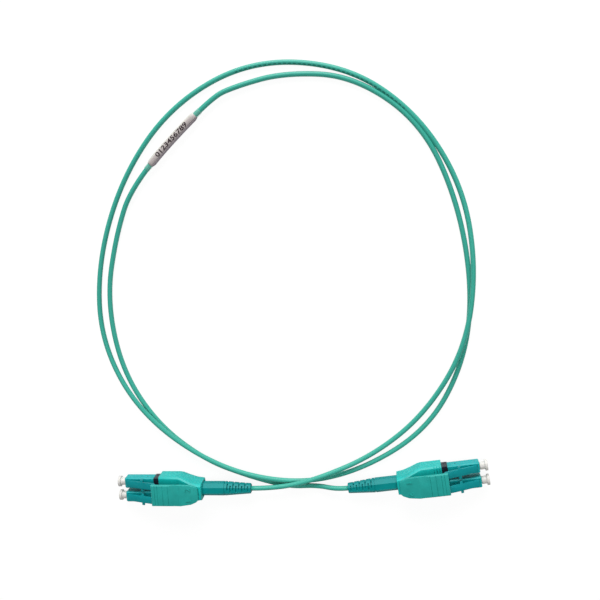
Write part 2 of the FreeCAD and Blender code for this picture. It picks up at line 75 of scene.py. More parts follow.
places = {"left": (-74.265, -7.4, 182.85), "right": (73.644, 7.004, 10.05)}
axisHeight = 4.2
bootEnd = -54.02  # rear end of the bend boot, along the connector's axis
plugMiddle = 3.125  # from the connector's middle to the middle of a plug


def intoWorld(side, spots):
    # From a connector's own millimetres, x forwards and z up from its axis, to metres in the frame: turned
    # about the upright by the connector's turn, then moved to its place
    x, y, turn = places[side]
    turn = math.radians(turn)
    spots = np.asarray(spots, float)
    east = x + spots[..., 0] * math.cos(turn) - spots[..., 1] * math.sin(turn)
    north = y + spots[..., 0] * math.sin(turn) + spots[..., 1] * math.cos(turn)
    return np.stack([east, north, spots[..., 2] + axisHeight], -1) / 1000


# Objects and meshes

def addObject(name, data):
    item = bpy.data.objects.new(name, data)
    bpy.context.scene.collection.objects.link(item)
    return item


def addMesh(name, verts, faces, smooth=True):
    mesh = bpy.data.meshes.new(name)
    mesh.from_pydata(verts, [], faces)
    mesh.update()
    mesh.polygons.foreach_set("use_smooth", [smooth] * len(mesh.polygons))
    return addObject(name, mesh)


def evaluatedMesh(item):
    # The mesh that Blender makes of a curve, a text or a piece with modifiers
    bpy.context.view_layer.update()
    return bpy.data.meshes.new_from_object(item.evaluated_get(bpy.context.evaluated_depsgraph_get()))


def pointsOf(mesh):
    spots = np.empty(len(mesh.vertices) * 3)
    mesh.vertices.foreach_get("co", spots)
    return spots.reshape(-1, 3)


def wear(item, material):
    item.data.materials.clear()
    item.data.materials.append(material)


# Camera at the photograph's place and angle

camera = {
    "place": (0.033894, 0.137871, 0.30024),
    "right": (0.9936, 0.0, -0.1128),
    "up": (-0.0227, 0.9795, -0.2000),
    "back": (0.1104, 0.2013, 0.9733),
    "lens": 46.02,
    "sensor": 36,
    "nearest": 0.01,
    "farthest": 10,
}


def makeCamera(facts):
    data = bpy.data.cameras.new("photoCamera")
    data.lens = facts["lens"]
    data.sensor_width = facts["sensor"]
    data.clip_start = facts["nearest"]
    data.clip_end = facts["farthest"]
    item = addObject("photoCamera", data)
    turn = Matrix((facts["right"], facts["up"], facts["back"])).transposed().to_4x4()
    item.matrix_world = Matrix.Translation(facts["place"]) @ turn
    bpy.context.scene.camera = item


makeCamera(camera)
print("camera placed")


# Shader maths: a wrapped socket takes part in Python expressions, and any other node comes from put

class Tap:
    def __init__(self, tree, socket):
        self.tree = tree
        self.socket = socket

    def put(self, kind, settings=None, sockets=None, out=0):
        node = self.tree.nodes.new(kind)
        for key, value in (settings or {}).items():
            if key == "stops":  # (place, colour) pairs of a colour ramp
                stops = node.color_ramp.elements
                while len(stops) < len(value):
                    stops.new(0.5)
                for stop, (spot, colour) in zip(stops, value):
                    stop.position = spot
                    stop.color = colour
            else:
                setattr(node, key, value)
        for key, value in (sockets or {}).items():
            if isinstance(value, Tap):
                self.tree.links.new(value.socket, node.inputs[key])
            else:
                node.inputs[key].default_value = value
        return Tap(self.tree, node.outputs[out]) if node.outputs else None

    def maths(self, operation, first, second=0.0):
        return self.put("ShaderNodeMath", {"operation": operation}, {0: first, 1: second})

    def __add__(self, other):
        return self.maths("ADD", self, other)

    def __radd__(self, other):
        return self.maths("ADD", other, self)

    def __sub__(self, other):
        return self.maths("SUBTRACT", self, other)

    def __rsub__(self, other):
        return self.maths("SUBTRACT", other, self)

    def __mul__(self, other):
        return self.maths("MULTIPLY", self, other)

    def __rmul__(self, other):
        return self.maths("MULTIPLY", other, self)

    def __truediv__(self, other):
        return self.maths("DIVIDE", self, other)

    def __rtruediv__(self, other):
        return self.maths("DIVIDE", other, self)


def linear(colour):
    # An sRGB colour of 0 to 255 as the linear values that sockets take
    values = []
    for value in colour:
        value = value / 255
        values.append(value / 12.92 if value <= 0.04045 else ((value + 0.055) / 1.055) ** 2.4)
    return (*values, 1.0)


def scaled(colour, share):
    return linear([value * share for value in colour])


def startMaterial(name):
    material = bpy.data.materials.new(name)
    material.use_nodes = True
    tree = material.node_tree
    tree.nodes.clear()
    return material, Tap(tree, None)


def onPiece(tap):
    # Where a point is on the piece, in metres
    return tap.put("ShaderNodeTexCoord", None, None, out="Object")


def endMaterial(tap, shader):
    tap.put("ShaderNodeOutputMaterial", None, {"Surface": shader})


def endPrincipled(tap, sockets):
    endMaterial(tap, tap.put("ShaderNodeBsdfPrincipled", None, sockets))


def noise(tap, spot, scale, detail=2.0, rough=0.5):
    sockets = {"Vector": spot, "Scale": scale, "Detail": detail, "Roughness": rough}
    return tap.put("ShaderNodeTexNoise", None, sockets)


def clouds(tap, spot, scale):
    # Noise with more small parts in it
    return noise(tap, spot, scale, 3.0, 0.6)


def stretched(tap, spot, scale):
    return tap.put("ShaderNodeMapping", None, {"Vector": spot, "Scale": scale})


def clamped(tap, value):
    return tap.put("ShaderNodeClamp", None, {"Value": value})


def mixColours(tap, factor, first, second):
    return tap.put("ShaderNodeMix", {"data_type": "RGBA"}, {0: factor, 6: first, 7: second}, out=2)


def bump(tap, height, strength, distance):
    return tap.put("ShaderNodeBump", None, {"Height": height, "Strength": strength, "Distance": distance})


# Moulded plastic: a fine grain, slow drifts of tone and gloss, and faint scuffs

plastic = {
    "darkShare": 0.93, "lightShare": 1.12, "lightLift": 6,
    "driftScale": 260.0, "driftFrom": 0.35, "driftGain": 2.2, "grainScale": 5200.0,
    "scuffStretch": (60.0, 900.0, 900.0), "scuffFrom": 0.62, "scuffGain": 3.0, "scuffs": 0.35,
    "rough": 0.36, "driftRough": 0.12, "grainRough": 0.08, "scuffRough": 0.1,
    "bump": 0.12, "bumpDepth": 0.00002, "ior": 1.5, "specular": 0.42,
}
softPlastic = dict(plastic, driftScale=180.0, grainScale=7000.0, scuffs=0.25, rough=0.5, bump=0.2,
                   specular=0.2)
shellPlastic = dict(plastic, specular=0.48, rough=0.5)
plugPlastic = dict(plastic, specular=0.34, rough=0.48)
blackPlastic = dict(plastic, lightShare=1.5, darkShare=0.8, scuffs=0.3, rough=0.42, specular=0.4)
grippedPlastic = dict(plastic, rough=0.52, bump=0.22, bumpDepth=0.00003, specular=0.3)


def mouldedPlastic(name, colour, facts):
    material, tap = startMaterial(name)
    spot = onPiece(tap)
    drift = clouds(tap, spot, facts["driftScale"])
    grain = noise(tap, spot, facts["grainScale"])
    scuffs = noise(tap, stretched(tap, spot, facts["scuffStretch"]), 1.0, 4.0, 0.65)
    light = linear([min(255, value * facts["lightShare"] + facts["lightLift"]) for value in colour])
    dark = scaled(colour, facts["darkShare"])
    tone = mixColours(tap, (drift - facts["driftFrom"]) * facts["driftGain"], dark, linear(colour))
    scuffed = clamped(tap, (scuffs - facts["scuffFrom"]) * facts["scuffGain"] * facts["scuffs"])
    tone = mixColours(tap, scuffed, tone, light)
    rough = facts["rough"] + (drift - 0.5) * facts["driftRough"] + (grain - 0.5) * facts["grainRough"]
    endPrincipled(tap, {
        "Base Color": tone, "Roughness": rough + scuffed * facts["scuffRough"],
        "Normal": bump(tap, grain, facts["bump"], facts["bumpDepth"]),
        "IOR": facts["ior"], "Specular IOR Level": facts["specular"]})
    return material


# Dust caps: milky polyethylene that light gets a little way into

capPlastic = {
    "darkShare": 0.95, "driftScale": 420.0, "grainScale": 5000.0, "rough": 0.34, "driftRough": 0.2,
    "bump": 0.1, "bumpDepth": 0.00002, "ior": 1.5, "specular": 0.45,
    "milk": 0.3, "milkReach": (0.0006, 0.0006, 0.0005),
}


def cloudyPlastic(name, colour, facts):
    material, tap = startMaterial(name)
    spot = onPiece(tap)
    drift = clouds(tap, spot, facts["driftScale"])
    grain = noise(tap, spot, facts["grainScale"])
    tone = mixColours(tap, drift, scaled(colour, facts["darkShare"]), linear(colour))
    endPrincipled(tap, {
        "Base Color": tone, "Roughness": facts["rough"] + drift * facts["driftRough"],
        "Normal": bump(tap, grain, facts["bump"], facts["bumpDepth"]),
        "IOR": facts["ior"], "Specular IOR Level": facts["specular"],
        "Subsurface Weight": facts["milk"], "Subsurface Radius": facts["milkReach"], "Subsurface Scale": 1.0})
    return material


# Ferrules: polished ceramic

ceramicFacts = {
    "dark": (238, 236, 230), "light": (250, 249, 246), "driftScale": 900.0, "rough": 0.12, "driftRough": 0.1,
    "ior": 1.7, "specular": 0.6, "coat": 0.3, "coatRough": 0.05,
}


def ceramic(name, facts):
    material, tap = startMaterial(name)
    spot = onPiece(tap)
    drift = noise(tap, spot, facts["driftScale"])
    tone = mixColours(tap, drift, linear(facts["dark"]), linear(facts["light"]))
    endPrincipled(tap, {
        "Base Color": tone, "Roughness": facts["rough"] + drift * facts["driftRough"],
        "IOR": facts["ior"], "Specular IOR Level": facts["specular"],
        "Coat Weight": facts["coat"], "Coat Roughness": facts["coatRough"]})
    return material


# Flanges, springs and crimp rings: turned metal, with fine lines round it

turnedMetal = {
    "lineStretch": (9000.0, 400.0, 400.0), "darkShare": 0.85, "lineRough": 0.15,
    "bump": 0.15, "bumpDepth": 0.00001,
}


def metal(name, colour, rough, facts):
    material, tap = startMaterial(name)
    spot = onPiece(tap)
    lines = clouds(tap, stretched(tap, spot, facts["lineStretch"]), 1.0)
    tone = mixColours(tap, lines, scaled(colour, facts["darkShare"]), linear(colour))
    endPrincipled(tap, {
        "Base Color": tone, "Metallic": 1.0, "Roughness": rough + lines * facts["lineRough"],
        "Normal": bump(tap, lines, facts["bump"], facts["bumpDepth"])})
    return material


# Cable jacket: extruded plastic with faint draw lines along it and a row of plain ticks, from its own UV map.
# The ticks' places are in metres along the cable, and their side and width are shares of the way round it

jacketFacts = {
    "colour": (52, 160, 142), "dark": (34, 138, 122), "light": (74, 178, 159), "evenShare": 0.55,
    "driftScale": 45.0, "driftShare": 0.5, "lineStretch": (14.0, 25.0, 1.0), "grainScale": 4200.0,
    "rough": 0.42, "lineRough": 0.15, "lineHeight": 0.6, "grainHeight": 0.4,
    "bump": 0.25, "bumpDepth": 0.00003, "ior": 1.5, "specular": 0.4,
    "tickColour": (14, 74, 66), "tickFrom": 0.212, "tickTo": 0.283, "tickPitch": 0.0019, "tickShare": 0.6,
    "tickSide": 0.335, "tickWidth": 0.045, "tickStrength": 0.62,
}


def jacketPlastic(facts):
    material, tap = startMaterial("cableJacket")
    spot = onPiece(tap)
    place = tap.put("ShaderNodeUVMap", {"uv_map": "alongCable"})
    lines = clouds(tap, stretched(tap, place, facts["lineStretch"]), 1.0)
    drift = noise(tap, spot, facts["driftScale"])
    grain = noise(tap, spot, facts["grainScale"])
    tone = mixColours(tap, lines, linear(facts["dark"]), linear(facts["light"]))
    evened = facts["evenShare"] + (drift - 0.5) * facts["driftShare"]
    tone = mixColours(tap, evened, tone, linear(facts["colour"]))
    side = tap.put("ShaderNodeSeparateXYZ", None, {"Vector": place}, out="X")
    along = tap.put("ShaderNodeSeparateXYZ", None, {"Vector": place}, out="Y")
    started = along.maths("GREATER_THAN", along, facts["tickFrom"])
    unfinished = along.maths("LESS_THAN", along, facts["tickTo"])
    dash = along.maths("LESS_THAN", along.maths("FRACT", along / facts["tickPitch"]), facts["tickShare"])
    offset = side.maths("ABSOLUTE", side - facts["tickSide"])
    ticks = started * unfinished * dash * side.maths("LESS_THAN", offset, facts["tickWidth"])
    tone = mixColours(tap, ticks * facts["tickStrength"], tone, linear(facts["tickColour"]))
    height = lines * facts["lineHeight"] + grain * facts["grainHeight"]
    endPrincipled(tap, {
        "Base Color": tone, "Roughness": facts["rough"] + (lines - 0.5) * facts["lineRough"],
        "Normal": bump(tap, height, facts["bump"], facts["bumpDepth"]),
        "IOR": facts["ior"], "Specular IOR Level": facts["specular"]})
    return material


# The cable. Its route's middle points are in millimetres, from the left boot's end to the right one's, and so
# are the straight runs out of the boots. Its diameter and the step between its rings are in metres

cable = {
    "diameter": 0.002,
    "sides": 28,
    "step": 0.0014,
    "resolution": 24,
    "leadRun": 11.0,
    "tailRun": 4.6,
    "middle": (
        (7.3, 0.9, 4.6), (30.6, 11.2, 1.0), (50.9, 30.0, 1.0), (65.6, 58.4, 3.7), (68.4, 90.4, 3.7),
        (62.1, 122.0, 1.0), (43.6, 149.35, 1.0), (16.5, 166.5, 1.0), (-19.5, 168.4, 1.0), (-50.4, 152.0, 1.0),
        (-71.4, 124.3, 1.0), (-83.3, 89.6, 1.0), (-83.8, 56.0, 1.0), (-67.3, 26.1, 3.8), (-36.5, 4.4, 4.0),
        (-3.8, -3.15, 2.0), (24.3, 3.5, 1.0), (52.1, 23.1, 1.0), (65.6, 51.8, 1.0), (67.6, 82.4, 1.0),
        (60.15, 117.0, 1.0), (45.55, 145.6, 1.0), (19.7, 162.5, 1.0), (-6.3, 163.7, 1.0), (-24.5, 159.0, 1.3),
        (-35.0, 154.5, 1.8), (-66.9, 122.2, 1.8), (-75.1, 100.8, 1.0), (-80.2, 74.4, 1.0), (-75.4, 44.6, 1.0),
        (-61.3, 21.4, 1.0), (-41.2, 5.9, 1.0), (-21.4, -0.9, 1.0), (-4.6, -4.6, 1.0), (7.0, -3.0, 1.7),
    ),
}


def routePoints(facts):
    # The route's control points in metres: out of the left boot, the middle, and into the right one
    first = intoWorld("left", [(bootEnd, 0, 0), (bootEnd - facts["leadRun"], 0, 0)])
    last = intoWorld("right", [(bootEnd - facts["tailRun"], 0, 0), (bootEnd, 0, 0)])
    middle = np.array(facts["middle"]) / 1000
    return [tuple(point) for point in np.concatenate([first, middle, last]).tolist()]


def smoothLine(name, points, resolution):
    # Points along a NURBS spline through the control points, read from a curve with no bevel
    data = bpy.data.curves.new(name, "CURVE")
    data.dimensions = "3D"
    data.resolution_u = resolution
    spline = data.splines.new("NURBS")
    spline.points.add(len(points) - 1)
    for spot, point in zip(spline.points, points):
        spot.co = (*point, 1)
    spline.order_u = 3
    spline.use_endpoint_u = True
    item = addObject(name, data)
    mesh = evaluatedMesh(item)
    line = pointsOf(mesh)
    bpy.data.objects.remove(item)
    bpy.data.curves.remove(data)
    bpy.data.meshes.remove(mesh)
    return line


def evenSteps(line, step):
    # The same line in equal steps, with the distance along it
    gaps = np.linalg.norm(np.diff(line, axis=0), axis=1)
    along = np.concatenate([[0], np.cumsum(gaps)])
    count = max(2, int(round(along[-1] / step)) + 1)
    even = np.linspace(0, along[-1], count)
    return valuesAt(even, along, line), even


def valuesAt(where, along, values):
    # Rows of values, read at distances along the line
    return np.stack([np.interp(where, along, values[:, k]) for k in range(values.shape[1])], 1)


def lineFrames(line):
    # Two square directions across the line, level and as near to upright as it can be
    ahead = np.gradient(line, axis=0)
    ahead /= np.linalg.norm(ahead, axis=1)[:, None]
    across = np.cross(ahead, (0, 0, 1.0))
    across /= np.linalg.norm(across, axis=1)[:, None]
    return across, np.cross(across, ahead)


def roundRings(line, radius, sides, first, second):
    # A round section at each point of the line: point + radius (first cos + second sin)
    turn = np.linspace(0, 2 * math.pi, sides, endpoint=False)
    ring = np.cos(turn)[None, :, None] * first[:, None] + np.sin(turn)[None, :, None] * second[:, None]
    radius = np.broadcast_to(np.asarray(radius, float), (len(line),))
    return (line[:, None] + ring * radius[:, None, None]).reshape(-1, 3)


def gridQuads(rings, sides, joined=False):
    # Quads between rings of points that close round. Joined, the last ring meets the first one again
    ring, side = np.meshgrid(np.arange(rings if joined else rings - 1), np.arange(sides), indexing="ij")
    after = (side + 1) % sides
    below = (ring + 1) % rings
    quads = [ring * sides + side, ring * sides + after, below * sides + after, below * sides + side]
    return np.stack(quads, -1).reshape(-1, 4).tolist()


def gridFaces(rings, sides, turned=False):
    # The same quads with one fan face at each end, turned where the rings go round against their direction
    ends = [list(range(sides))[::-1], list(range((rings - 1) * sides, rings * sides))]
    faces = gridQuads(rings, sides) + ends
    return [face[::-1] for face in faces] if turned else faces


def tubeAlong(name, line, radius, sides):
    # Round sections of the given radius along the line. They go round against its direction
    verts = roundRings(line, radius, sides, *lineFrames(line))
    return addMesh(name, verts, gridFaces(len(line), sides, turned=True))


def mapAlong(item, along, sides, name="alongCable"):
    # UV map: u goes round the line from 0 to 1, and v is the distance along it in metres
    layer = item.data.uv_layers.new(name=name)
    corner = np.empty(len(item.data.loops), int)
    item.data.loops.foreach_get("vertex_index", corner)
    side = (corner % sides) / sides
    size = np.array([p.loop_total for p in item.data.polygons])
    starts = np.repeat(np.concatenate([[0], np.cumsum(size)[:-1]]), size)
    wraps = (np.repeat(size, size) == 4) & (side == 0) & (side[starts] == (sides - 1) / sides)
    side = np.where(wraps, 1.0, side)
    layer.data.foreach_set("uv", np.stack([side, along[corner // sides]], 1).ravel())


routeLine = smoothLine("cableRoute", routePoints(cable), cable["resolution"])
cableLine, cableAlong = evenSteps(routeLine, cable["step"])
jacket = tubeAlong("cableJacket", cableLine, cable["diameter"] / 2, cable["sides"])
mapAlong(jacket, cableAlong, cable["sides"])
wear(jacket, jacketPlastic(jacketFacts))
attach(jacket, "cord_assembly")
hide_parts("cord_first_half_turn", "cord_second_half_turn", "cord_third_half_turn",
            "cord_last_half_turn")
print("cable length", round(float(cableAlong[-1]), 4))


# Plain floor and soft studio light. The main softbox stands low behind the coil, as it does in the photograph

studio = {
    "floorSize": 1.6, "floorColour": (244, 244, 243), "whiteShare": 0.86, "white": 1.05,
    "glossShare": 0.08, "skyStrength": 0.22, "skyGloss": 0.12,
}


def seenBy(tap, *rays):
    # 1 for a ray of any of these kinds
    total = tap.put("ShaderNodeLightPath", None, None, out=rays[0])
    for ray in rays[1:]:
        total = total + tap.put("ShaderNodeLightPath", None, None, out=ray)
    return clamped(tap, total)


def makeFloor(facts):
    half = facts["floorSize"] / 2
    corners = [(-half, -half, 0), (half, -half, 0), (half, half, 0), (-half, half, 0)]
    floor = addMesh("studioFloor", corners, [(0, 1, 2, 3)], smooth=False)
    material, tap = startMaterial("paleFloor")
    seen = seenBy(tap, "Is Camera Ray", "Is Transmission Ray") * facts["whiteShare"]
    seen = seen + seenBy(tap, "Is Glossy Ray") * facts["glossShare"]
    matte = tap.put("ShaderNodeBsdfDiffuse", None, {"Color": linear(facts["floorColour"])})
    glow = tap.put("ShaderNodeEmission", None, {"Color": (1, 1, 1, 1), "Strength": facts["white"]})
    endMaterial(tap, tap.put("ShaderNodeMixShader", None, {0: seen, 1: matte, 2: glow}))
    wear(floor, material)


def makeSky(facts):
    world = bpy.data.worlds.new("studioSky")
    bpy.context.scene.world = world
    world.use_nodes = True
    world.node_tree.nodes.clear()
    tap = Tap(world.node_tree, None)
    seen = seenBy(tap, "Is Camera Ray", "Is Transmission Ray")
    gloss = tap.put("ShaderNodeLightPath", None, None, out="Is Glossy Ray")
    strength = facts["skyStrength"] + seen * (1 - facts["skyStrength"])
    strength = strength + gloss * (facts["skyGloss"] - facts["skyStrength"])
    light = tap.put("ShaderNodeBackground", None, {"Color": (1, 1, 1, 1), "Strength": strength})
    tap.put("ShaderNodeOutputWorld", None, {"Surface": light})


softboxAim = (0, 0.06, 0)
softboxes = {
    "softboxBehind": {"place": (-0.15, 1.5, 0.66), "size": 1.1, "power": 32.0, "glossy": True},
    "softboxAbove": {"place": (0.1, 0.0, 0.8), "size": 0.5, "power": 2.7, "glossy": False},
}


def makeSoftbox(name, facts):
    data = bpy.data.lights.new(name, "AREA")
    data.shape = "SQUARE"
    data.size = facts["size"]
    data.energy = facts["power"]
    item = addObject(name, data)
    item.location = facts["place"]
    item.visible_glossy = facts["glossy"]
    item.rotation_mode = "QUATERNION"
    item.rotation_quaternion = (Vector(softboxAim) - Vector(facts["place"])).to_track_quat("-Z", "Y")


makeFloor(studio)
makeSky(studio)
for name, facts in softboxes.items():
    makeSoftbox(name, facts)
bpy.context.scene.view_settings.view_transform = "Standard"
print("studio ready")


# Connector pieces. Those in moulded get a copy with its edges rounded as the mould leaves them, by a width in
# metres. The others keep their own mesh, or a finer piece further down stands for them

frameColour = (24, 31, 44)
moulded = {
    "plug_housing": {"colour": (0, 160, 162), "edge": 0.00008, "slot": "plug_teal", "finish": plugPlastic},
    # The latch's teal is darker than the housing's: painted shade for the plugs' tops, where the latches lie
    "latch": {"colour": (0, 140, 144), "edge": 0.00008, "slot": "latch_teal", "finish": plugPlastic},
    "outer_shell": {"colour": (0, 176, 170), "edge": 0.00025, "slot": "shell_aqua", "finish": shellPlastic},
    "press_trigger": {"colour": (34, 160, 152), "edge": 0.0001, "slot": "trigger_aqua",
                      "finish": grippedPlastic},
    "frame_base": {"colour": frameColour, "edge": 0.0001, "slot": "frame_black", "finish": blackPlastic},
    "frame_cover": {"colour": frameColour, "edge": 0.0001, "slot": "frame_black", "finish": blackPlastic},
    "dust_cap": {"colour": (207, 205, 201), "edge": 0.00022, "slot": "cap_clear", "finish": capPlastic},
}
plainPlastics = {
    "bend_boot": {"colour": (0, 137, 137), "finish": softPlastic},
    "cable_end": {"colour": jacketFacts["colour"], "finish": softPlastic},
    "fibre_leg_a": {"colour": (60, 110, 180), "finish": softPlastic},
    "fibre_leg_b": {"colour": (225, 140, 60), "finish": softPlastic},
    # Near-black teal for the cups in the plugs' small holes: painted shade, in the black plastic's finish
    "side_hole": {"colour": (2, 40, 42), "finish": blackPlastic},
    "spring_seat": {"colour": (214, 214, 208), "finish": plastic},
}
metals = {
    "ferrule_flange": {"colour": (196, 190, 176), "rough": 0.25},
    "ferrule_spring": {"colour": (180, 182, 186), "rough": 0.3},
    "crimp_ring": {"colour": (190, 168, 120), "rough": 0.3},
}


# Rounding: the distance is in metres, and the angles are in degrees

rounding = {"mergeWithin": 1e-6, "flatWithin": 0.8, "roundFrom": 28, "segments": 3, "smoothTo": 40}


def kindOf(node):
    # The node's name without its side and the plug's letter
    return node.split("_", 1)[1].removesuffix("_a").removesuffix("_b")


def roundedCopy(node, edge, facts):
    # The solid's triangles are merged, flat ones joined, and the sharp edges rounded
    mesh = bpy.data.meshes.new(node + "_moulded")
    work = bmesh.new()
    work.from_mesh(frame["nodes"][node].data)
    bmesh.ops.remove_doubles(work, verts=work.verts, dist=facts["mergeWithin"])
    flat = math.radians(facts["flatWithin"])
    bmesh.ops.dissolve_limit(work, angle_limit=flat, verts=work.verts, edges=work.edges)
    work.to_mesh(mesh)
    work.free()
    item = addObject(node + "_moulded", mesh)
    bevel = item.modifiers.new("mouldEdge", "BEVEL")
    bevel.width = edge
    bevel.segments = facts["segments"]
    bevel.limit_method = "ANGLE"
    bevel.angle_limit = math.radians(facts["roundFrom"])
    bevel.use_clamp_overlap = True
    bakeDown(item, facts["smoothTo"])
    return item


def bakeDown(item, angle):
    # The modifiers' result becomes the piece's own mesh, smooth but for edges past the angle
    mesh = evaluatedMesh(item)
    item.modifiers.clear()
    old = item.data
    item.data = mesh
    bpy.data.meshes.remove(old)
    mesh.polygons.foreach_set("use_smooth", [True] * len(mesh.polygons))
    mesh.set_sharp_from_angle(angle=math.radians(angle))


materials = {"ferrule": ceramic("ferrule", ceramicFacts)}
for kind, facts in (moulded | plainPlastics).items():
    make = cloudyPlastic if facts["finish"] is capPlastic else mouldedPlastic
    materials[kind] = make(kind, facts["colour"], facts["finish"])
for kind, facts in metals.items():
    materials[kind] = metal(kind, facts["colour"], facts["rough"], turnedMetal)

for node, item in frame["nodes"].items():
    if not node.startswith(("left_", "right_")):
        continue
    kind = kindOf(node)
    if kind in moulded:
        piece = roundedCopy(node, moulded[kind]["edge"], rounding)
        wear(piece, materials[kind])
        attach(piece, item["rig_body"])
        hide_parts(node)
    elif kind == "fibre_leg":
        wear(item, materials["fibre_leg_" + node[-1]])
    else:
        wear(item, materials[kind])
print("connectors dressed")


# Bend boot, in the connector's own millimetres. Angles are in degrees round its axis from one side, over the
# top and over the bottom alike

bendBoot = {
    "ribsFront": -42.95, "front": -30.85, "half": 2.7, "endHalf": 1.9, "cornerShare": 0.526,
    "lipRun": 0.14, "lipShare": 0.93,
    "slits": 8, "pitch": 1.23, "width": 0.5, "edge": 0.03, "depthShare": 0.37,
    "sideTo": 20, "topTo": 89.5, "sideDepth": 0.12, "topFrom": 43, "farTo": 113,
    "lineWidth": 0.22, "lineShare": 0.11,
    "angleStep": 5, "edgeAngles": (19.5, 20.5, 42.5, 43.5, 88, 91, 112, 114),
    "bore": 1.03, "room": 2.45, "roomBack": -32.65, "turnedOver": {"left": True, "right": False},
    "sharpFrom": 30,
}


def bootStations(facts, turn):
    # Sections from the rear to the front: place, the slit's depth at each angle, and share of the outline. By
    # turns a slit lies shallow over the side and deep up to mid-top and mid-bottom, or deep across top and
    # bottom only. The last one is a fine line all round
    width = np.abs(turn)
    sideSlit = np.select([width < facts["sideTo"], width < facts["topTo"]], [facts["sideDepth"], 1.0], 0.0)
    topSlit = np.select([width < facts["topFrom"], width < facts["farTo"]], [0.0, 1.0], 0.0)
    line = np.full(len(turn), facts["lineShare"] / facts["depthShare"])
    whole = np.zeros(len(turn))
    slits = []
    for count in range(facts["slits"], 0, -1):
        middle = facts["ribsFront"] - count * facts["pitch"]
        slit = sideSlit if count % 2 else topSlit
        slits.append((middle - facts["width"] / 2, middle + facts["width"] / 2, slit))
    slits.append((facts["ribsFront"], facts["ribsFront"] + facts["lineWidth"], line))
    stations = [(bootEnd, whole, facts["lipShare"]), (bootEnd + facts["lipRun"], whole, 1.0)]
    for low, high, slit in slits:
        stations.append((low - facts["edge"], whole, 1.0))
        stations.append((low, slit, 1.0))
        stations.append((high, slit, 1.0))
        stations.append((high + facts["edge"], whole, 1.0))
    stations.append((facts["front"], whole, 1.0))
    return stations


def ribbedBoot(side, facts):
    # A square section with cut corners, carried along the axis: its radius at an angle is the least of the
    # distances to the flats and to the cut corners. It narrows to the rear, where the slits lie across it
    corner = math.degrees(math.atan(1 - facts["cornerShare"]))
    marked = [corner, 90 - corner, 90 + corner, 180 - corner, *facts["edgeAngles"]]
    even = np.arange(-180, 180, facts["angleStep"])
    turn = np.unique(np.concatenate([even, marked, np.negative(marked)]).round(3))
    angle = np.radians(turn)
    cosine = np.abs(np.cos(angle)) + 1e-9
    sine = np.abs(np.sin(angle)) + 1e-9
    outline = np.minimum(np.minimum(1 / cosine, 1 / sine), (2 - facts["cornerShare"]) / (cosine + sine))
    sections = []
    for x, slit, share in bootStations(facts, turn):
        half = np.interp(x, [bootEnd, facts["ribsFront"]], [facts["endHalf"], facts["half"]])
        sections.append((x, half * share * outline * (1 - facts["depthShare"] * slit)))
    # Back to the rear inside it: the room for the crimp ring, then the cable's bore
    sections.append((facts["front"], facts["room"]))
    sections.append((facts["roomBack"], facts["room"]))
    sections.append((facts["roomBack"], facts["bore"]))
    sections.append((bootEnd, facts["bore"]))
    rings = []
    for x, radius in sections:
        rings.append(np.stack([np.full(len(turn), x), radius * np.cos(angle), radius * np.sin(angle)], -1))
    spots = np.concatenate(rings)
    if facts["turnedOver"][side]:
        spots = spots * (1, -1, -1)
    boot = addMesh(side + "RibbedBoot", intoWorld(side, spots), gridQuads(len(rings), len(turn), joined=True))
    boot.data.set_sharp_from_angle(angle=math.radians(facts["sharpFrom"]))
    wear(boot, materials["bend_boot"])
    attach(boot, "cord_assembly")
    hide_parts(side + "_bend_boot")


# Fine ribs over one shoulder of the shell. The path is across and up, at the front of the shell's slope

ribs = {
    "fromFront": (0.7, 1.85, 3.0), "front": -15.05, "rise": 0.2, "riseRun": 8.2,
    "radius": 0.22, "endShare": 0.3, "sides": 12,
    "path": ((6.06, 0.9), (6.05, 1.8), (6.04, 2.45), (6.0, 2.7), (5.9, 2.86), (5.62, 3.09), (5.4, 3.2),
             (5.1, 3.2), (4.4, 3.2), (3.6, 3.2)),
}


def shellRibs(side, facts):
    # Round bars half sunk along a line over the shoulder, thin at both ends
    for count, distance in enumerate(facts["fromFront"]):
        rise = facts["rise"] * distance / facts["riseRun"]
        line = intoWorld(side, [(facts["front"] - distance, y, z + rise) for y, z in facts["path"]])
        radius = np.full(len(line), facts["radius"] / 1000)
        radius[[0, -1]] *= facts["endShare"]
        rib = tubeAlong("%sShellRib%d" % (side, count + 1), line, radius, facts["sides"])
        wear(rib, materials["outer_shell"])
        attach(rib, side + "_shell")


# Painted shade in each plug's small side hole: a dark cup. The profile is in shares of radius and depth

holes = {
    "x": -9.45, "radius": 0.27, "wall": 2.25, "inset": 0.03, "depth": 0.42, "sides": 20,
    "profile": ((0.1, 0.85), (0.85, 0.85), (0.88, 0.0), (1.0, 0.0), (1.0, 1.0), (0.1, 1.0)),
}


def holeShades(side, facts):
    # A closed cup of painted shade: its profile turned round the hole's axis, from inner floor over the rim
    # to outer floor
    turn = np.linspace(0, 2 * math.pi, facts["sides"], endpoint=False)
    for letter, out in (("A", 1), ("B", -1)):
        rim = plugMiddle + facts["wall"] - facts["inset"]
        rings = []
        for share, inward in facts["profile"]:
            radius = facts["radius"] * share
            level = np.full(len(turn), out * (rim - inward * facts["depth"]))
            rings.append(np.stack([facts["x"] + radius * np.cos(turn), level, radius * np.sin(turn)], -1))
        faces = gridFaces(len(rings), facts["sides"], turned=out < 0)
        cup = addMesh("%sHole%s" % (side, letter), intoWorld(side, np.concatenate(rings)), faces)
        wear(cup, materials["side_hole"])
        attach(cup, "cord_assembly")


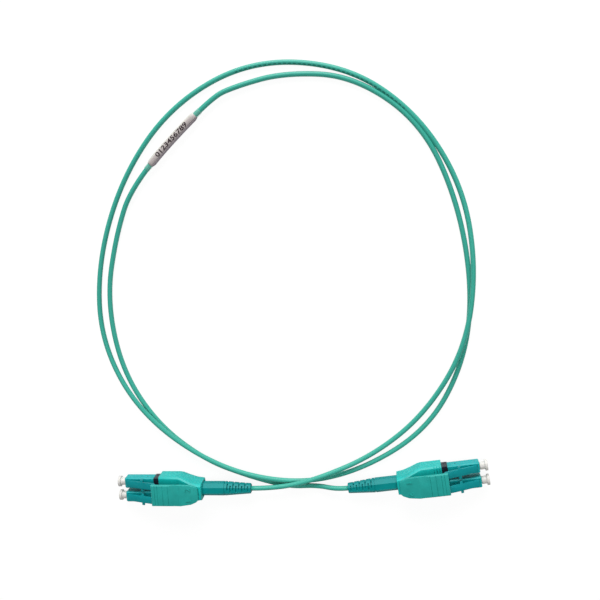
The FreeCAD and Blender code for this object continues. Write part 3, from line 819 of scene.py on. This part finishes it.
def textSolid(words, facts, resolution=4, mergeWithin=1e-5):
    # The words as a closed solid in the xy plane round the origin: its points, and the points of each face.
    # With cuts, its triangles are divided, so that it can bend
    data = bpy.data.curves.new("words", "FONT")
    data.body = words
    data.size = facts["size"]
    data.align_x = "CENTER"
    data.align_y = "CENTER"
    data.extrude = facts["depth"] / 2
    data.offset = facts["bold"]
    data.resolution_u = resolution
    item = addObject("words", data)
    mesh = evaluatedMesh(item)
    bpy.data.objects.remove(item)
    bpy.data.curves.remove(data)
    work = bmesh.new()
    work.from_mesh(mesh)
    bmesh.ops.remove_doubles(work, verts=work.verts, dist=mergeWithin)
    if facts["cuts"]:
        bmesh.ops.triangulate(work, faces=work.faces)
        bmesh.ops.subdivide_edges(work, edges=work.edges, cuts=facts["cuts"], use_grid_fill=True)
    work.to_mesh(mesh)
    work.free()
    spots = pointsOf(mesh)
    faces = [list(face.vertices) for face in mesh.polygons]
    bpy.data.meshes.remove(mesh)
    return spots, faces


# A raised digit behind each plug, on the sloping rear of the trigger, which falls from top to rearTop. Each
# digit has the side that it is on, as the sign of y

marks = {
    "digits": {"1": 1, "2": -1}, "x": -28.65, "y": 2.45, "size": 3.4, "bold": 0.0, "cuts": 0,
    "depth": 0.5, "raise": 0.28, "flatTo": -23.65, "rear": -32.55, "top": 7.9, "rearTop": 6.75,
}


def triggerMarks(side, facts):
    # The digit leans with the slope and reads from behind
    slope = (facts["top"] - facts["rearTop"]) / (facts["flatTo"] - facts["rear"])
    for digit, sign in facts["digits"].items():
        spots, faces = textSolid(digit, facts)
        x = facts["x"] + spots[:, 1]
        y = sign * facts["y"] - spots[:, 0]
        base = facts["top"] + slope * (x - facts["flatTo"]) - facts["depth"] / 2 + facts["raise"]
        verts = intoWorld(side, np.stack([x, y, base + spots[:, 2]], -1))
        raised = addMesh("%sDigit%s" % (side, digit), verts, faces, smooth=False)
        wear(raised, materials["press_trigger"])
        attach(raised, side + "_trigger")


# Wound springs in place of the plain bars. The press is the ferrule's travel in metres

springs = {"turns": 9, "wireSides": 8, "stepsPerTurn": 24, "press": 0.001}


def coilSpring(side, letter, facts):
    # Wire wound round the plug's axis inside the node's own bar: axis point + radius (cos, sin), then a round
    # section square to that line
    node = "%s_ferrule_spring_%s" % (side, letter)
    turn = math.radians(places[side][2])
    ahead = np.array([math.cos(turn), math.sin(turn), 0.0])
    beside = np.array([-math.sin(turn), math.cos(turn), 0.0])
    above = np.array([0.0, 0.0, 1.0])
    spots = pointsOf(frame["nodes"][node].data)
    along, aside, height = spots @ ahead, spots @ beside, spots @ above
    middle = beside * (aside.max() + aside.min()) / 2 + above * (height.max() + height.min()) / 2
    reach = np.hypot(aside - middle @ beside, height - middle @ above)
    wire = (reach.max() - reach.min()) / 2
    radius = reach.max() - wire
    count = facts["turns"] * facts["stepsPerTurn"] + 1
    angle = np.linspace(0, 2 * math.pi * facts["turns"], count)
    place = np.linspace(along.min() + wire, along.max() - wire, count)
    outward = np.cos(angle)[:, None] * beside + np.sin(angle)[:, None] * above
    line = place[:, None] * ahead + middle + radius * outward
    forward = np.gradient(line, axis=0)
    forward /= np.linalg.norm(forward, axis=1)[:, None]
    verts = roundRings(line, wire, facts["wireSides"], outward, np.cross(forward, outward))
    name = "%sCoilSpring%s" % (side, letter.upper())
    spring = addMesh(name, verts, gridFaces(count, facts["wireSides"]))
    wear(spring, materials["ferrule_spring"])
    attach(spring, "cord_assembly")
    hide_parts(node)
    length = along.max() - along.min()
    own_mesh(spring)


for side in places:
    ribbedBoot(side, bendBoot)
    shellRibs(side, ribs)
    holeShades(side, holes)
    triggerMarks(side, marks)
    coilSpring(side, "a", springs)
    coilSpring(side, "b", springs)
print("boots, ribs, holes, digits and springs made")


# Label and its clear sleeve: tubes on the cable's own line, in millimetres, each a little further along it
# than its node's middle

labelFacts = {
    "length": 26.5, "shift": 2.0, "step": 0.4, "radius": 1.65, "endRadius": 1.28, "taper": 1.6, "sides": 48,
    # The lightest colour is a painted highlight, on the side of the label that faces the softbox behind
    "colour": (180, 172, 170), "lightColour": (206, 203, 196), "darkColour": (128, 116, 128),
    "bands": ((0.0, "lightColour"), (0.12, "lightColour"), (0.2, "colour"), (0.335, "colour"),
              (0.35, "darkColour"), (0.375, "colour"), (0.41, "darkColour"), (0.47, "darkColour"),
              (0.55, "colour"), (1.0, "colour")),
    "cloudScale": 700.0, "cloudFrom": 0.4, "cloudGain": 0.5, "rough": 0.3, "cloudRough": 0.15,
    "bump": 0.2, "bumpDepth": 0.00004, "ior": 1.5, "specular": 0.45,
}


def stretchOf(line, along, node, facts):
    # Points of the cable's line over the piece's length, and their distances from its middle in metres
    low, high = [np.array(corner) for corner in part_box(node)]
    nearest = np.argmin(np.linalg.norm((line - (low + high) / 2)[:, :2], axis=1))
    middle = along[nearest] + facts["shift"] / 1000
    length = facts["length"] / 1000
    spots = np.linspace(middle - length / 2, middle + length / 2, int(facts["length"] / facts["step"]))
    return valuesAt(spots, along, line), spots - middle


def labelPaper(facts):
    # Grey film, darker where its edge laps over, and lighter on the side away from the text: a painted
    # highlight where it faces the softbox behind. The bands' places are shares of the way round
    material, tap = startMaterial("labelFilm")
    spot = onPiece(tap)
    place = tap.put("ShaderNodeUVMap", {"uv_map": "roundLabel"})
    side = tap.put("ShaderNodeSeparateXYZ", None, {"Vector": place}, out="X")
    cloud = clouds(tap, spot, facts["cloudScale"])
    stops = [(where, linear(facts[colour])) for where, colour in facts["bands"]]
    tone = tap.put("ShaderNodeValToRGB", {"stops": stops}, {"Fac": side})
    darker = (cloud - facts["cloudFrom"]) * facts["cloudGain"]
    tone = mixColours(tap, darker, tone, linear(facts["darkColour"]))
    endPrincipled(tap, {
        "Base Color": tone, "Roughness": facts["rough"] + cloud * facts["cloudRough"],
        "Normal": bump(tap, cloud, facts["bump"], facts["bumpDepth"]),
        "IOR": facts["ior"], "Specular IOR Level": facts["specular"]})
    return material


def makeLabel(facts):
    # A tube whose radius grows as a quarter of a sine wave over the taper at each end
    line, along = stretchOf(cableLine, cableAlong, "label", facts)
    fromEnd = facts["length"] / 2 - np.abs(along) * 1000
    share = np.clip(fromEnd / facts["taper"], 0, 1)
    radius = facts["endRadius"] + (facts["radius"] - facts["endRadius"]) * np.sin(share * math.pi / 2)
    label = tubeAlong("labelWrap", line, radius / 1000, facts["sides"])
    mapAlong(label, along, facts["sides"], "roundLabel")
    wear(label, labelPaper(facts))
    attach(label, "cord_assembly")
    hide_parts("label")
    return label


# Plain digits round the top of the label

digitFacts = {
    "words": "0123456789", "size": 2.6, "stretch": 1.35, "bold": 0.065, "cuts": 4,
    "depth": 0.03, "sink": 0.005, "colour": (40, 30, 34), "worn": 40, "wornScale": 2600.0, "wornShare": 0.5,
    "rough": 0.4, "wornRough": 0.2, "specular": 0.3,
}


def ink(facts):
    material, tap = startMaterial("digitInk")
    spot = onPiece(tap)
    cloud = clouds(tap, spot, facts["wornScale"])
    worn = linear([value + facts["worn"] for value in facts["colour"]])
    tone = mixColours(tap, cloud * facts["wornShare"], linear(facts["colour"]), worn)
    endPrincipled(tap, {
        "Base Color": tone, "Roughness": facts["rough"] + cloud * facts["wornRough"],
        "Specular IOR Level": facts["specular"]})
    return material


def makeDigits(facts, label):
    # Each point goes back along the line by its x, and round the tube by its y over the radius
    line, along = stretchOf(cableLine, cableAlong, "label", label)
    spots, faces = textSolid(facts["words"], facts)
    where = -spots[:, 0] * facts["stretch"] / 1000
    turn = math.pi / 2 - spots[:, 1] / label["radius"]
    out = (label["radius"] + spots[:, 2] + facts["depth"] / 2 - facts["sink"]) / 1000
    middle, across, up = [valuesAt(where, along, part) for part in (line, *lineFrames(line))]
    verts = middle + out[:, None] * (np.cos(turn)[:, None] * across + np.sin(turn)[:, None] * up)
    digits = addMesh("labelDigits", verts, faces)
    wear(digits, ink(facts))
    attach(digits, "cord_assembly")
    return digits


sleeveFacts = {
    "length": 33.0, "shift": 2.0, "step": 0.8, "radius": 1.25, "bore": 1.03, "endShare": 0.25, "sides": 36,
    "colour": (150, 212, 196), "darker": 12, "cloudScale": 900.0, "cover": 0.27, "cloudCover": 0.1,
    "rough": 0.25, "cloudRough": 0.15, "ior": 1.5, "specular": 0.5,
}


def clearFilm(facts):
    material, tap = startMaterial("clearSleeve")
    spot = onPiece(tap)
    cloud = clouds(tap, spot, facts["cloudScale"])
    dark = linear([value - facts["darker"] for value in facts["colour"]])
    endPrincipled(tap, {
        "Base Color": mixColours(tap, cloud, dark, linear(facts["colour"])),
        "Roughness": facts["rough"] + cloud * facts["cloudRough"],
        "Alpha": cloud * facts["cloudCover"] + facts["cover"],
        "IOR": facts["ior"], "Specular IOR Level": facts["specular"]})
    return material


def makeSleeve(facts):
    # A tube that comes down to the cable over a short last step at each end
    line = stretchOf(cableLine, cableAlong, "label_sleeve", facts)[0]
    radius = np.full(len(line), facts["radius"])
    radius[[0, -1]] = facts["bore"]
    line[[0, -1]] = line[[1, -2]] * (1 - facts["endShare"]) + line[[0, -1]] * facts["endShare"]
    sleeve = tubeAlong("labelSleeve", line, radius / 1000, facts["sides"])
    wear(sleeve, clearFilm(facts))
    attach(sleeve, "cord_assembly")
    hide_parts("label_sleeve")
    return sleeve


labelWrap = makeLabel(labelFacts)
labelDigits = makeDigits(digitFacts, labelFacts)
labelSleeve = makeSleeve(sleeveFacts)
print("label made")

routePoints(cable)[0]

print("finishing")
